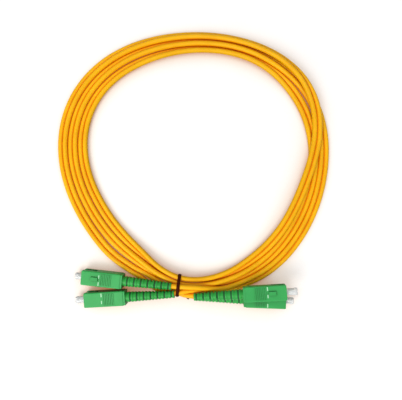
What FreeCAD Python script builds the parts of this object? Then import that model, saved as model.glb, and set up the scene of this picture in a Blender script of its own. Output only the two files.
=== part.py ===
# Duplex fibre optic patch lead: two 3 mm jackets side by side as one flat lead,
# a square push-pull plug with a ribbed boot and a dust cap on each of the four
# ends, and a twist tie round the coil. Millimetres. X runs along the plugs, Y
# into the coil and Z up from the table that the lead lies on.
import FreeCAD, Part
import math
import os

import Sketcher

doc = FreeCAD.newDocument("patch_lead")
sheet = doc.addObject("Spreadsheet::Sheet", "Sizes")

# Driving dimensions: alias, value in millimetres (or degrees, or a count), meaning.
SIZES = [
    ("jacket_diameter", 3.0, "one jacket of the flat lead"),
    ("jacket_web", 0.16, "thin web between the two jackets"),
    ("ring_radius", 74.6, "mean radius of the coil's centre line"),
    ("ring_east", 5.9, "coil centre, along the plugs"),
    ("ring_north", 78.25, "coil centre, away from the plugs"),
    ("ring_sway", 1.6, "coil pulled to one side"),
    ("ring_oval", 0.9, "coil squeezed oval"),
    ("ring_lobes", 3.0, "coil bulging three ways"),
    ("ring_dent", 0.65, "coil pressed in where the turns swap"),
    ("turn_gap", 0.55, "between turns whose leads stand on edge"),
    ("flat_gap", 0.07, "added between turns whose leads lie flat"),
    ("top_gap", 1.2, "added between turns far from the plugs"),
    ("fan_gap", 1.3, "added between turns where they fan out"),
    ("ride_gap", 0.45, "between a turn and the one that it rides over"),
    ("plug_clear", 1.6, "coil drawn in beside the near plug"),
    ("tie_lift", 0.85, "lead lifted by the strap under it"),
    ("coil_lift", 0.3, "coil standing off the surface far from the tie"),
    ("tie_width", 1.9, "width of the twist tie"),
    ("tie_thickness", 0.6, "thickness of the twist tie"),
    ("tie_gap", 0.2, "tie to jacket"),
    ("twist_length", 6.4, "twisted tail of the tie"),
    ("twist_diameter", 1.2, "twisted tail of the tie"),
    ("grip_length", 25.0, "outer grip, front to back"),
    ("grip_width", 9.0, "outer grip, wide side"),
    ("grip_height", 7.4, "outer grip, narrow side"),
    ("grip_corner", 0.8, "rounding of its long edges"),
    ("grip_front_corner", 0.85, "rounding of its front corners, seen from above"),
    ("grip_back_wall", 2.4, "rear wall round the boot"),
    ("grip_travel", 1.6, "how far the grip slides back"),
    ("slide_gap", 0.1, "running clearance of sliding pieces"),
    ("collar_length", 1.2, "stepped collar at the rear"),
    ("collar_step", 0.2, "depth of that step"),
    ("key_width", 2.2, "key ridge on one wide face"),
    ("key_height", 0.7, "how far the key stands proud"),
    ("key_start", 6.0, "front of the key"),
    ("key_length", 4.3, "length of the key"),
    ("side_slot_height", 3.4, "latch opening in each narrow side"),
    ("side_slot_length", 8.5, "its length from the front"),
    ("rib_count", 7, "finger ribs on each wide face"),
    ("rib_pitch", 1.0, "rib to rib"),
    ("rib_width", 0.5, "one rib, front to back"),
    ("rib_height", 0.25, "one rib, proud"),
    ("rib_start", 11.8, "first rib"),
    ("rib_span", 7.0, "one rib, across"),
    ("plug_recess", 0.8, "plug frame behind the grip's front"),
    ("plug_length", 19.6, "plug frame"),
    ("plug_width", 6.9, "plug frame, wide side"),
    ("plug_height", 5.7, "plug frame, narrow side"),
    ("nose_bore", 4.8, "front bore round the ferrule"),
    ("nose_depth", 6.2, "depth of the front bore"),
    ("shoulder", 1.0, "wall that stops the flange"),
    ("shoulder_bore", 3.3, "hole in that wall"),
    ("ear_start", 4.4, "front of each latch ear"),
    ("ear_length", 2.2, "latch ear"),
    ("ear_height", 3.0, "latch ear"),
    ("ear_proud", 0.6, "latch ear"),
    ("ferrule_diameter", 2.5, "ceramic ferrule"),
    ("ferrule_reach", 2.6, "ferrule beyond the grip's front"),
    ("ferrule_angle", 8.0, "angle of the polished end, degrees"),
    ("ferrule_seat", 2.2, "ferrule inside its flange"),
    ("flange_diameter", 4.3, "flange behind the shoulder"),
    ("flange_length", 3.0, "flange"),
    ("tail_diameter", 1.5, "tube behind the flange"),
    ("tail_reach", 7.6, "tube behind the flange"),
    ("float_travel", 1.0, "how far the ferrule gives"),
    ("spring_wire", 0.45, "float spring wire"),
    ("spring_diameter", 3.3, "float spring, mean"),
    ("spring_coils", 6, "float spring turns"),
    ("post_neck", 3.0, "back post inside the plug frame"),
    ("post_collar", 2.0, "collar behind the plug frame"),
    ("post_collar_diameter", 5.5, "collar behind the plug frame"),
    ("post_diameter", 3.2, "stem that the strength yarn is crimped to"),
    ("post_stem", 10.6, "length of that stem"),
    ("post_bore", 1.9, "bore for the fibre"),
    ("yarn_wall", 0.22, "strength yarn over the stem"),
    ("sleeve_wall", 0.4, "crimp sleeve"),
    ("sleeve_neck", 5.4, "small end of the sleeve, over the jacket"),
    ("jacket_start", 36.0, "end of the jacket, from the grip's front"),
    ("fibre_diameter", 0.9, "buffered fibre"),
    ("boot_root_diameter", 6.2, "boot where it leaves the grip"),
    ("boot_tip_diameter", 4.4, "boot at its tip"),
    ("boot_root_length", 5.6, "straight part of the boot"),
    ("boot_tip_at", 54.5, "boot tip, from the grip's front"),
    ("slot_count", 12, "bending slots along the boot"),
    ("slot_width", 0.9, "one slot"),
    ("slot_first", 29.6, "first slot, from the grip's front"),
    ("slot_last", 52.4, "last slot, from the grip's front"),
    ("slot_core", 0.25, "wall left under a slot"),
    ("cap_diameter", 4.3, "dust cap"),
    ("cap_waist", 3.9, "dust cap behind its head"),
    ("cap_head", 1.6, "head of the dust cap"),
    ("cap_length", 9.5, "dust cap"),
    ("cap_end", 1.2, "closed end of the dust cap"),
    ("cap_grip_gap", 0.03, "cap bore round the ferrule"),
]
for row, (alias, value, meaning) in enumerate(SIZES, start=1):
    sheet.set("A%d" % row, meaning)
    sheet.set("B%d" % row, str(value))
    sheet.setAlias("B%d" % row, alias)
doc.recompute()


def size(alias):
    """Value of one driving dimension."""
    return float(sheet.get(alias))


def cell(text):
    """Expression in which each alias of the sheet gets the sheet's name."""
    for alias, value, meaning in sorted(SIZES, key=lambda entry: -len(entry[0])):
        text = text.replace("<" + alias + ">", "Sizes." + alias)
    return text


def sheet_value(text):
    """Number that an expression on the sheet gives."""
    return float(sheet.evalExpression(cell(text)))


# Places along a plug's own axis, from the grip's front face to the rear.
PLUG_BACK = "(<plug_recess> + <plug_length>)"
SHOULDER_FRONT = "(<plug_recess> + <nose_depth>)"
SHOULDER_BACK = "(<plug_recess> + <nose_depth> + <shoulder>)"
FLANGE_FRONT = "(%s + <slide_gap> / 2)" % SHOULDER_BACK
FLANGE_BACK = "(%s + <flange_length>)" % FLANGE_FRONT
TAIL_BACK = "(%s + <tail_reach>)" % FLANGE_BACK
POST_FRONT = "(%s - <post_neck>)" % PLUG_BACK
COLLAR_BACK = "(%s + <post_collar>)" % PLUG_BACK
STEM_BACK = "(%s + <post_stem>)" % COLLAR_BACK
SLEEVE_FRONT = "(%s + <slide_gap>)" % COLLAR_BACK
SLEEVE_STEP = "(%s + <slide_gap> * 4)" % STEM_BACK
SLEEVE_BACK = "(%s + <sleeve_neck>)" % SLEEVE_STEP
BOOT_FRONT = "(%s + <slide_gap> * 2)" % COLLAR_BACK
CHAMBER = "(<flange_diameter> + 2 * <slide_gap>)"
YARN_RADIUS = "(<post_diameter> / 2 + <yarn_wall>)"
SLEEVE_BORE = "(%s + <slide_gap> / 4)" % YARN_RADIUS
SLEEVE_RADIUS = "(%s + <sleeve_wall>)" % SLEEVE_BORE
NECK_BORE = "(<jacket_diameter> / 2 + <slide_gap> / 4)"
NECK_RADIUS = "(%s + <sleeve_wall>)" % NECK_BORE
BOOT_BORE = "(<jacket_diameter> / 2 + <slide_gap>)"


def box(name, length, width, height, along, across="0", up="0"):
    """Block with its front face at along, centred across and up on the axis."""
    block = doc.addObject("Part::Box", name)
    block.setExpression("Length", cell(length))
    block.setExpression("Width", cell(width))
    block.setExpression("Height", cell(height))
    block.setExpression("Placement.Base.x", cell(along))
    block.setExpression("Placement.Base.y", cell("%s - (%s) / 2" % (across, width)))
    block.setExpression("Placement.Base.z", cell("%s - (%s) / 2" % (up, height)))
    return block


def rod(name, radius, along, length):
    """Cylinder on the axis, starting at along."""
    bar = doc.addObject("Part::Cylinder", name)
    bar.setExpression("Radius", cell(radius))
    bar.setExpression("Height", cell(length))
    bar.Placement = FreeCAD.Placement(FreeCAD.Vector(0, 0, 0), FreeCAD.Rotation(FreeCAD.Vector(0, 1, 0), 90))
    bar.setExpression("Placement.Base.x", cell(along))
    return bar


def joined(name, shapes):
    """Union of several objects."""
    union = doc.addObject("Part::MultiFuse", name)
    union.Shapes = shapes
    union.Refine = True
    return union


def cut(name, base, tool):
    """One object minus another."""
    rest = doc.addObject("Part::Cut", name)
    rest.Base = base
    rest.Tool = tool
    rest.Refine = True
    return rest


def turned(name, outline):
    """Body of revolution: corners of its half section as (along, radius) expressions."""
    body = doc.addObject("PartDesign::Body", name)
    plane = next(item for item in body.Origin.OriginFeatures if item.Role == "XY_Plane")
    sketch = body.newObject("Sketcher::SketchObject", name + "_section")
    sketch.AttachmentSupport = [(plane, "")]
    sketch.MapMode = "FlatFace"
    corners = [
        FreeCAD.Vector(float(sketch.evalExpression(cell(along))), float(sketch.evalExpression(cell(radius))), 0)
        for along, radius in outline
    ]
    count = len(corners)
    for index in range(count):
        sketch.addGeometry(Part.LineSegment(corners[index], corners[(index + 1) % count]), False)
    for index in range(count):
        sketch.addConstraint(Sketcher.Constraint("Coincident", index, 2, (index + 1) % count, 1))
    for index, (along, radius) in enumerate(outline):
        number = sketch.addConstraint(Sketcher.Constraint("DistanceX", -1, 1, index, 1, corners[index].x))
        sketch.setExpression("Constraints[%d]" % number, cell(along))
        if radius == "0":
            sketch.addConstraint(Sketcher.Constraint("PointOnObject", index, 1, -1))
            continue
        number = sketch.addConstraint(Sketcher.Constraint("DistanceY", -1, 1, index, 1, corners[index].y))
        sketch.setExpression("Constraints[%d]" % number, cell(radius))
    spin = body.newObject("PartDesign::Revolution", name + "_spin")
    spin.Profile = sketch
    spin.ReferenceAxis = (sketch, ["H_Axis"])
    spin.Angle = 360.0
    return body


def long_edges(shape):
    """Numbers of the edges that run the whole length of a block along the axis."""
    found = []
    for number, edge in enumerate(shape.Edges, start=1):
        start, end = edge.Vertexes[0].Point, edge.Vertexes[-1].Point
        if abs(abs(end.x - start.x) - shape.BoundBox.XLength) < 1e-6:
            found.append(number)
    return found


def front_corners(shape):
    """Numbers of a block's edges that stand upright at its front face."""
    found = []
    for number, edge in enumerate(shape.Edges, start=1):
        box_of_edge = edge.BoundBox
        upright = box_of_edge.ZLength > 0.9 * shape.BoundBox.ZLength
        if upright and box_of_edge.XMax < shape.BoundBox.XMin + 1e-6:
            found.append(number)
    return found


def rounded(name, block, alias):
    """Block with its long edges rounded."""
    doc.recompute()
    soft = doc.addObject("Part::Fillet", name)
    soft.Base = block
    soft.Edges = [(number, size(alias), size(alias)) for number in long_edges(block.Shape)]
    return soft


def rounded_front(name, block, alias, front_alias):
    """Block with its long edges and its two front corners rounded."""
    soft = rounded(name, block, alias)
    corners = [(number, size(front_alias), size(front_alias)) for number in front_corners(block.Shape)]
    soft.Edges = list(soft.Edges) + corners
    return soft


# The square push-pull plug, piece by piece. Every maker takes the plug's end name.
def make_outer_grip(name):
    """Sliding grip: rounded shell, key, finger ribs, latch openings, stepped rear collar."""
    body = rounded_front(
        name + "_shell",
        box(name + "_block", "<grip_length> - <collar_length>", "<grip_width>", "<grip_height>", "0"),
        "grip_corner",
        "grip_front_corner",
    )
    collar = rounded(
        name + "_collar",
        box(
            name + "_collar_block",
            "<grip_length> / 2",
            "<grip_width> - 2 * <collar_step>",
            "<grip_height> - 2 * <collar_step>",
            "<grip_length> / 2",
        ),
        "grip_corner",
    )
    key_up = "<grip_height> / 2 + <key_height> / 2 - <collar_step> / 2"
    key = box(name + "_key", "<key_length>", "<key_width>", "<key_height> + <collar_step>", "<key_start>", "0", key_up)
    ribs = []
    for number in range(int(size("rib_count"))):
        along = "<rib_start> + %d * <rib_pitch>" % number
        across = box("%s_rib_%d" % (name, number), "<rib_width>", "<rib_span>", "<grip_height> + 2 * <rib_height>", along)
        ribs.append(across)
    solid = joined(name + "_outside", [body, collar, key] + ribs)
    cavity = box(
        name + "_cavity",
        "<grip_length> - <grip_back_wall> + <grip_corner>",
        "<plug_width> + 2 * <slide_gap>",
        "<plug_height> + 2 * <slide_gap>",
        "-<grip_corner>",
    )
    bore_front = "<grip_length> - <grip_back_wall> - <grip_travel> - 4 * <slide_gap>"
    bore = rod(name + "_bore", "<boot_root_diameter> / 2 + <slide_gap>", bore_front, "<grip_length>")
    slots = box(
        name + "_slots",
        "<side_slot_length> + <grip_corner>",
        "<grip_width> * 2",
        "<side_slot_height>",
        "-<grip_corner>",
    )
    return cut(name, solid, joined(name + "_inside", [cavity, bore, slots]))


def make_plug_frame(name):
    """Frame that the spring and ferrule live in, with a latch ear on each narrow side."""
    block = box(name + "_block", "<plug_length>", "<plug_width>", "<plug_height>", "<plug_recess>")
    ears = box(name + "_ears", "<ear_length>", "<plug_width> + 2 * <ear_proud>", "<ear_height>", "<ear_start>")
    nose = rod(name + "_nose", "<nose_bore> / 2", "<plug_recess> - <shoulder>", "<nose_depth> + <shoulder>")
    hole = rod(name + "_hole", "<shoulder_bore> / 2", "<plug_recess>", "<plug_length> / 2")
    chamber = rod(name + "_chamber", CHAMBER + " / 2", SHOULDER_BACK, "<plug_length>")
    return cut(name, joined(name + "_outside", [block, ears]), joined(name + "_inside", [nose, hole, chamber]))


def make_ferrule(name):
    """Ceramic ferrule whose end is polished at an angle."""
    reach = "(<ferrule_reach> + %s + <ferrule_seat>)" % FLANGE_FRONT
    pin = rod(name + "_pin", "<ferrule_diameter> / 2", "-<ferrule_reach>", reach)
    plane = doc.addObject("Part::Box", name + "_polish")
    plane.setExpression("Length", cell("<ferrule_diameter>"))
    plane.setExpression("Width", cell("<ferrule_diameter> * 2"))
    plane.setExpression("Height", cell("<ferrule_diameter> * 4"))
    corner = FreeCAD.Vector(-size("ferrule_diameter"), -size("ferrule_diameter"), -size("ferrule_diameter"))
    lowest = FreeCAD.Vector(-size("ferrule_reach"), 0, -size("ferrule_diameter") / 2)
    tilt = FreeCAD.Placement(lowest, FreeCAD.Rotation(FreeCAD.Vector(0, 1, 0), size("ferrule_angle")))
    plane.Placement = tilt.multiply(FreeCAD.Placement(corner, FreeCAD.Rotation()))
    return cut(name, pin, plane)


def make_ferrule_flange(name):
    """Metal flange that holds the ferrule and carries the spring on its tube."""
    return turned(name, [
        ("%s + <ferrule_seat>" % FLANGE_FRONT, "<fibre_diameter> / 2"),
        ("%s + <ferrule_seat>" % FLANGE_FRONT, "<ferrule_diameter> / 2"),
        (FLANGE_FRONT, "<ferrule_diameter> / 2"),
        (FLANGE_FRONT, "<flange_diameter> / 2"),
        (FLANGE_BACK, "<flange_diameter> / 2"),
        (FLANGE_BACK, "<tail_diameter> / 2"),
        (TAIL_BACK, "<tail_diameter> / 2"),
        (TAIL_BACK, "<fibre_diameter> / 2"),
    ])


def make_float_spring(name):
    """Coil spring between the flange and the back post."""
    rise = cell("%s - %s - <spring_wire> - <slide_gap>" % (POST_FRONT, FLANGE_BACK))
    helix = doc.addObject("Part::Helix", name + "_path")
    helix.setExpression("Height", rise)
    helix.setExpression("Radius", cell("<spring_diameter> / 2"))
    helix.setExpression("Pitch", "(%s) / Sizes.spring_coils" % rise)
    wire = doc.addObject("Part::Circle", name + "_wire")
    wire.setExpression("Radius", cell("<spring_wire> / 2"))
    wire.Placement = FreeCAD.Placement(
        FreeCAD.Vector(size("spring_diameter") / 2, 0, 0), FreeCAD.Rotation(FreeCAD.Vector(1, 0, 0), 90)
    )
    wire.setExpression("Placement.Base.x", cell("<spring_diameter> / 2"))
    doc.recompute()
    spring = doc.addObject("Part::Sweep", name)
    spring.Sections = [wire]
    spring.Spine = (helix, ["Edge%d" % number for number in range(1, len(helix.Shape.Edges) + 1)])
    spring.Solid = True
    spring.Frenet = True
    return spring


def make_back_post(name):
    """Rear post: neck pressed into the plug frame, collar, and the stem behind it."""
    return turned(name, [
        (POST_FRONT, "<post_bore> / 2"),
        (POST_FRONT, CHAMBER + " / 2"),
        (PLUG_BACK, CHAMBER + " / 2"),
        (PLUG_BACK, "<post_collar_diameter> / 2"),
        (COLLAR_BACK, "<post_collar_diameter> / 2"),
        (COLLAR_BACK, "<post_diameter> / 2"),
        (STEM_BACK, "<post_diameter> / 2"),
        (STEM_BACK, "<post_bore> / 2"),
    ])


def make_strength_yarn(name):
    """Strength yarn of the jacket, laid over the stem."""
    return turned(name, [
        (SLEEVE_FRONT, "<post_diameter> / 2"),
        (SLEEVE_FRONT, YARN_RADIUS),
        (STEM_BACK, YARN_RADIUS),
        (STEM_BACK, "<post_diameter> / 2"),
    ])


def make_crimp_sleeve(name):
    """Stepped metal sleeve, crimped over the yarn and the end of the jacket."""
    return turned(name, [
        (SLEEVE_FRONT, SLEEVE_BORE),
        (SLEEVE_FRONT, SLEEVE_RADIUS),
        (SLEEVE_STEP, SLEEVE_RADIUS),
        (SLEEVE_STEP, NECK_RADIUS),
        (SLEEVE_BACK, NECK_RADIUS),
        (SLEEVE_BACK, NECK_BORE),
        ("%s - <sleeve_wall>" % SLEEVE_STEP, NECK_BORE),
        ("%s - <sleeve_wall>" % SLEEVE_STEP, SLEEVE_BORE),
    ])


def make_fibre_buffer(name):
    """Buffered fibre from the flange's tube to the end of the jacket."""
    start = "(%s + <ferrule_seat> + <slide_gap> / 2)" % FLANGE_FRONT
    end = "(<jacket_start> - <float_travel> - <slide_gap>)"
    return turned(name, [
        (start, "0"),
        (start, "<fibre_diameter> / 2"),
        (end, "<fibre_diameter> / 2"),
        (end, "0"),
    ])


def make_boot(name):
    """Bend relief: tapered tube with slots cut in turn from above and from the side."""
    boot = turned(name + "_cone", [
        (BOOT_FRONT, "%s + <slide_gap>" % SLEEVE_RADIUS),
        (BOOT_FRONT, "<boot_root_diameter> / 2"),
        ("%s + <boot_root_length>" % BOOT_FRONT, "<boot_root_diameter> / 2"),
        ("<boot_tip_at>", "<boot_tip_diameter> / 2"),
        ("<boot_tip_at>", BOOT_BORE),
        ("%s + <slide_gap>" % SLEEVE_BACK, BOOT_BORE),
        ("%s + <slide_gap>" % SLEEVE_BACK, "%s + <slide_gap>" % NECK_RADIUS),
        ("%s + <slide_gap>" % SLEEVE_STEP, "%s + <slide_gap>" % NECK_RADIUS),
        ("%s + <slide_gap>" % SLEEVE_STEP, "%s + <slide_gap>" % SLEEVE_RADIUS),
    ])
    tools = []
    steps = int(size("slot_count"))
    sleeve_end = sheet_value("%s + <slide_gap>" % SLEEVE_BACK)
    sleeve_step = sheet_value("%s + <slide_gap>" % SLEEVE_STEP)
    for number in range(steps):
        along = "<slot_first> + (<slot_last> - <slot_first>) * %d / (<slot_count> - 1)" % number
        slot_front = sheet_value(along)
        bore = BOOT_BORE
        if slot_front < sleeve_end + size("slot_core"):
            bore = "(%s + <slide_gap>)" % NECK_RADIUS
        if slot_front < sleeve_step + size("slot_core"):
            bore = "(%s + <slide_gap>)" % SLEEVE_RADIUS
        offset = "(%s + <slot_core> + <boot_root_diameter> / 2)" % bore
        for side in ("", "-"):
            sideways = side + offset
            across, up = ("0", sideways) if number % 2 else (sideways, "0")
            label = "%s_slot_%d%s" % (name, number, "a" if side else "b")
            tools.append(box(label, "<slot_width>", "<boot_root_diameter>", "<boot_root_diameter>", along, across, up))
    return cut(name, boot, joined(name + "_slots", tools))


def make_dust_cap(name, reach):
    """Soft cap pushed over the ferrule; reach is how far it stands out of the grip."""
    front = "-%s" % reach
    back = "(<cap_length> - %s)" % reach
    return turned(name, [
        (front, "0"),
        (front, "<cap_diameter> / 2"),
        ("%s + <cap_head>" % front, "<cap_diameter> / 2"),
        ("%s + <cap_head> * 2" % front, "<cap_waist> / 2"),
        (back, "<cap_waist> / 2"),
        (back, "<ferrule_diameter> / 2 + <cap_grip_gap>"),
        ("%s + <cap_end>" % front, "<ferrule_diameter> / 2 + <cap_grip_gap>"),
        ("%s + <cap_end>" % front, "0"),
    ])


# Where the four plugs lie: front face centre, heading, climb and roll in degrees, cap reach.
PLUGS = {
    "a1": {"front": (-61.7, 7.15, 3.69), "heading": -5.4, "climb": 4.35, "roll": 0.0, "cap": "4.6"},
    "a2": {"front": (-59.9, -6.65, 4.18), "heading": 4.3, "climb": 4.0, "roll": 180.0, "cap": "6.0"},
    "b1": {"front": (60.0, 0.25, 14.17), "heading": 184.8, "climb": -6.4, "roll": 6.0, "cap": "6.3"},
    "b2": {"front": (61.3, -7.15, 4.9), "heading": 178.6, "climb": -2.76, "roll": 180.0, "cap": "5.0"},
}
MAKERS = {
    "outer_grip": make_outer_grip,
    "plug_frame": make_plug_frame,
    "ferrule": make_ferrule,
    "ferrule_flange": make_ferrule_flange,
    "float_spring": make_float_spring,
    "back_post": make_back_post,
    "strength_yarn": make_strength_yarn,
    "crimp_sleeve": make_crimp_sleeve,
    "fibre_buffer": make_fibre_buffer,
    "boot": make_boot,
}
SUB_PARTS = []


def plug_place(end):
    """Placement of a plug's own axis in the part's frame."""
    lay = PLUGS[end]
    turn = FreeCAD.Rotation(lay["heading"], -lay["climb"], lay["roll"])
    return FreeCAD.Placement(FreeCAD.Vector(*lay["front"]), turn)


def keep(item, label, place):
    """Give a finished sub-part its label and its place."""
    item.Label = label
    item.Placement = place
    SUB_PARTS.append(item)


def make_plug(end):
    """All pieces of one plug."""
    place = plug_place(end)
    for piece, maker in MAKERS.items():
        label = "%s_%s" % (piece, end)
        item = maker(label)
        home = place
        if piece == "float_spring":
            coil = sheet_value("%s + <spring_wire> / 2 + <slide_gap> / 2" % FLANGE_BACK)
            along = FreeCAD.Placement(FreeCAD.Vector(coil, 0, 0), FreeCAD.Rotation(FreeCAD.Vector(0, 1, 0), 90))
            home = place.multiply(along)
        keep(item, label, home)
    cap = make_dust_cap("dust_cap_" + end, PLUGS[end]["cap"])
    keep(cap, "dust_cap_" + end, place)


for end in PLUGS:
    make_plug(end)

# The coil. Angles round the ring are in degrees: 0 towards the plugs, 90 towards +X.
TIE_ANGLE = -7.0
COIL_START = 18.0
COIL_END = 330.0
COIL_TURNS = 3
STATION = 12.0
PITCH = size("jacket_diameter") + size("jacket_web")
SWAP = (59.0, 154.0)
RIDE = (31.0, 54.0, 120.0, 164.0)
LAID_FLAT = ((27.0, 59.0, 113.0, 150.0), (30.0, 63.0, 114.0, 143.0), (40.0, 70.0, 112.0, 139.0))
CROSSING_SPREAD = 0.04
SPREAD = ((0.38, 118.0), (0.04, 70.0), (0.18, 118.0))


def bell(distance, width):
    """Smooth hump of height one: exp(-(distance / width)^2)."""
    return math.exp(-((distance / width) ** 2))


def ramp(angle, start, end):
    """Smooth step from 0 at start to 1 at end: x^3 (10 - 15 x + 6 x^2)."""
    part = min(1.0, max(0.0, (angle - start) / (end - start)))
    return part ** 3 * (10 - 15 * part + 6 * part ** 2)


def stretch(angle, start, full, fading, end):
    """One between full and fading, nothing before start and after end."""
    return ramp(angle, start, full) - ramp(angle, fading, end)


def wave(amplitude, count, angle, crest):
    """Cosine with count crests per turn, one of them at the crest angle."""
    return amplitude * math.cos(math.radians(count * (angle - crest)))


def ring_radius(angle):
    """Loose ring: a circle, shifted, slightly oval, with three bulges and a dent."""
    sway = wave(size("ring_sway"), 1, angle, 98.0)
    oval = wave(size("ring_oval"), 2, angle, 50.0)
    lobes = wave(size("ring_lobes"), 3, angle, 5.5)
    dent = size("ring_dent") * bell(angle - 77.0, 25.0)
    return size("ring_radius") + sway + oval + lobes - dent


def from_tie(angle):
    """Angle between a place on the ring and the twist tie."""
    return min(abs(angle - TIE_ANGLE), abs(angle - TIE_ANGLE - 360.0))


def lay(turn, angle):
    """Lead at an angle of one turn: radius, height and tilt (0 flat, -90 degrees on edge)."""
    near = from_tie(angle)
    leaving = angle < 180.0
    flat = 1.0 - 0.9 * bell(near, 24.0 if leaving else 17.0) - 0.63 * bell(angle - 170.0, 40.0)
    swap = ramp(angle, *SWAP)
    amount, middle = SPREAD[turn]
    lane = (1.0 - swap, -swap, 2.0 * swap - 1.0)[turn] + amount * bell(angle - middle, 20.0)
    lane -= 0.4 * bell(near, 34.0 if leaving else 16.0)
    forced_flat = stretch(angle, *LAID_FLAT[turn])
    ride = 0.0
    if turn == 2:
        ride = stretch(angle, *RIDE)
        forced_flat += ramp(angle, 300.0, 328.0)
        lane += 0.17 * ramp(angle, 300.0, 328.0)
    on_edge = size("jacket_diameter") + size("turn_gap") + size("top_gap") * bell(angle - 180.0, 45.0)
    side_by_side = 2 * PITCH * flat + size("flat_gap") + size("fan_gap") * bell(angle - 297.0, 24.0)
    spacing = (on_edge ** 4 + side_by_side ** 4) ** 0.25
    tilt = -math.acos(flat) * (1.0 - min(forced_flat, 1.0))
    drawn_in = size("plug_clear") * bell(min(abs(angle - 332.0), abs(angle + 28.0)), 14.0)
    radius = ring_radius(angle) + spacing * lane - drawn_in
    height = size("jacket_diameter") / 2 + PITCH / 2 * abs(math.sin(tilt))
    height += (size("jacket_diameter") + size("ride_gap")) * ride + size("tie_lift") * bell(near, 11.0)
    height += size("coil_lift") * (1.0 - bell(near, 45.0))
    return radius, height, tilt


def jacket_point(side, total):
    """Centre of one jacket (side +1 outer, -1 inner) after a total angle."""
    turn = int((total - TIE_ANGLE) // 360.0)
    angle = total - 360.0 * turn
    radius, height, tilt = lay(turn, angle)
    half = side * PITCH / 2 * (1.0 + (CROSSING_SPREAD * bell(angle - 98.0, 25.0) if turn == 2 else 0.0))
    reach = radius + half * math.cos(tilt)
    across = size("ring_east") + reach * math.sin(math.radians(angle))
    along = size("ring_north") - reach * math.cos(math.radians(angle))
    return FreeCAD.Vector(across, along, height + half * math.sin(tilt))


def jacket_way(side, total):
    """Direction of one jacket after a total angle."""
    small = 0.05
    return (jacket_point(side, total + small) - jacket_point(side, total - small)).normalize()


def arc(start, way, end):
    """Arc from start to end that leaves start along way."""
    chord = end - start
    across = way - chord * (way.dot(chord) / chord.dot(chord))
    half_turn = math.asin(min(1.0, across.Length)) / 2
    if half_turn < 1e-5:
        return Part.LineSegment(start, end).toShape()
    top = start + chord * 0.5 + across.normalize() * (chord.Length / 2 * math.tan(half_turn))
    return Part.Arc(start, top, end).toShape()


def biarc(start, start_way, end, end_way):
    """Two arcs through start and end that have those directions and meet smoothly."""
    chord = end - start
    along = chord.dot(start_way + end_way)
    spread = 2.0 * (1.0 - start_way.dot(end_way))
    square = chord.dot(chord)
    reach = square / (2.0 * along)
    if spread > 1e-6:
        reach = (math.sqrt(along ** 2 + spread * square) - along) / spread
    first_knee = start + start_way * reach
    last_knee = end - end_way * reach
    middle = (first_knee + last_knee) * 0.5
    middle_way = (last_knee - first_knee).normalize()
    return [arc(start, start_way, middle), arc(middle, middle_way, end)]


def tube(path, start, way):
    """Round jacket swept along a path."""
    section = Part.Wire([Part.makeCircle(size("jacket_diameter") / 2, start, way)])
    return path.makePipeShell([section], True, False)


def add_shape(label, shape):
    """Sub-part whose shape is worked out above."""
    item = doc.addObject("Part::Feature", label)
    item.Shape = shape
    item.Label = label
    SUB_PARTS.append(item)
    return item


def volume_share(shape, path):
    """Volume of a tube over its section times its length."""
    return shape.Volume / (math.pi * (size("jacket_diameter") / 2) ** 2 * path.Length)


COIL_SIDES = {"jacket_coil_1": 1, "jacket_coil_2": -1}
COIL_PATHS = {}
last_angle = 360.0 * (COIL_TURNS - 1) + COIL_END
for label, side in COIL_SIDES.items():
    steps = int(round((last_angle - COIL_START) / STATION))
    angles = [COIL_START + (last_angle - COIL_START) * number / steps for number in range(steps + 1)]
    pieces = []
    for first, second in zip(angles, angles[1:]):
        pieces += biarc(
            jacket_point(side, first), jacket_way(side, first), jacket_point(side, second), jacket_way(side, second)
        )
    path = Part.Wire(pieces)
    COIL_PATHS[label] = path
    coil = tube(path, jacket_point(side, COIL_START), jacket_way(side, COIL_START))
    add_shape(label, coil)
    tightest = min(piece.Curve.Radius for piece in pieces if hasattr(piece.Curve, "Radius"))
    print("%s: length %.1f, tightest radius %.1f, volume share %.4f" % (
        label, path.Length, tightest, volume_share(coil, path)
    ))


# The free stretches: way points between each boot and the coil. The first number is where
# the jacket starts to bend, from the grip's front; the last is the straight run before the coil.
LEGS = {
    "a1": {"bend": 58.34, "by": [(6.71, 2.06, 9.93)], "coil": "jacket_coil_2", "at": COIL_START, "run": 9.12},
    "a2": {"bend": 56.71, "by": [(4.4, 0.21, 6.99)], "coil": "jacket_coil_1", "at": COIL_START, "run": 8.98},
    "b1": {
        "bend": 56.5, "by": [(-3.3, -2.7, 3.5), (-14.13, 1.7, 2.94)],
        "coil": "jacket_coil_2", "at": last_angle, "run": 9.01,
    },
    "b2": {
        "bend": 57.77, "by": [(-6.49, -4.88, 2.5), (-15.16, -2.56, 1.5)],
        "coil": "jacket_coil_1", "at": last_angle, "run": 9.09,
    },
}


def leg_points(end):
    """Way points of one free stretch, from inside the crimp sleeve to the coil."""
    leg = LEGS[end]
    place = plug_place(end)
    side = COIL_SIDES[leg["coil"]]
    join = jacket_point(side, leg["at"])
    way = jacket_way(side, leg["at"])
    back = -leg["run"] if leg["at"] == COIL_START else leg["run"]
    points = [place.multVec(FreeCAD.Vector(size("jacket_start"), 0, 0))]
    points.append(place.multVec(FreeCAD.Vector(leg["bend"], 0, 0)))
    points += [FreeCAD.Vector(*point) for point in leg["by"]]
    return points + [join + way * back, join]


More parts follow.
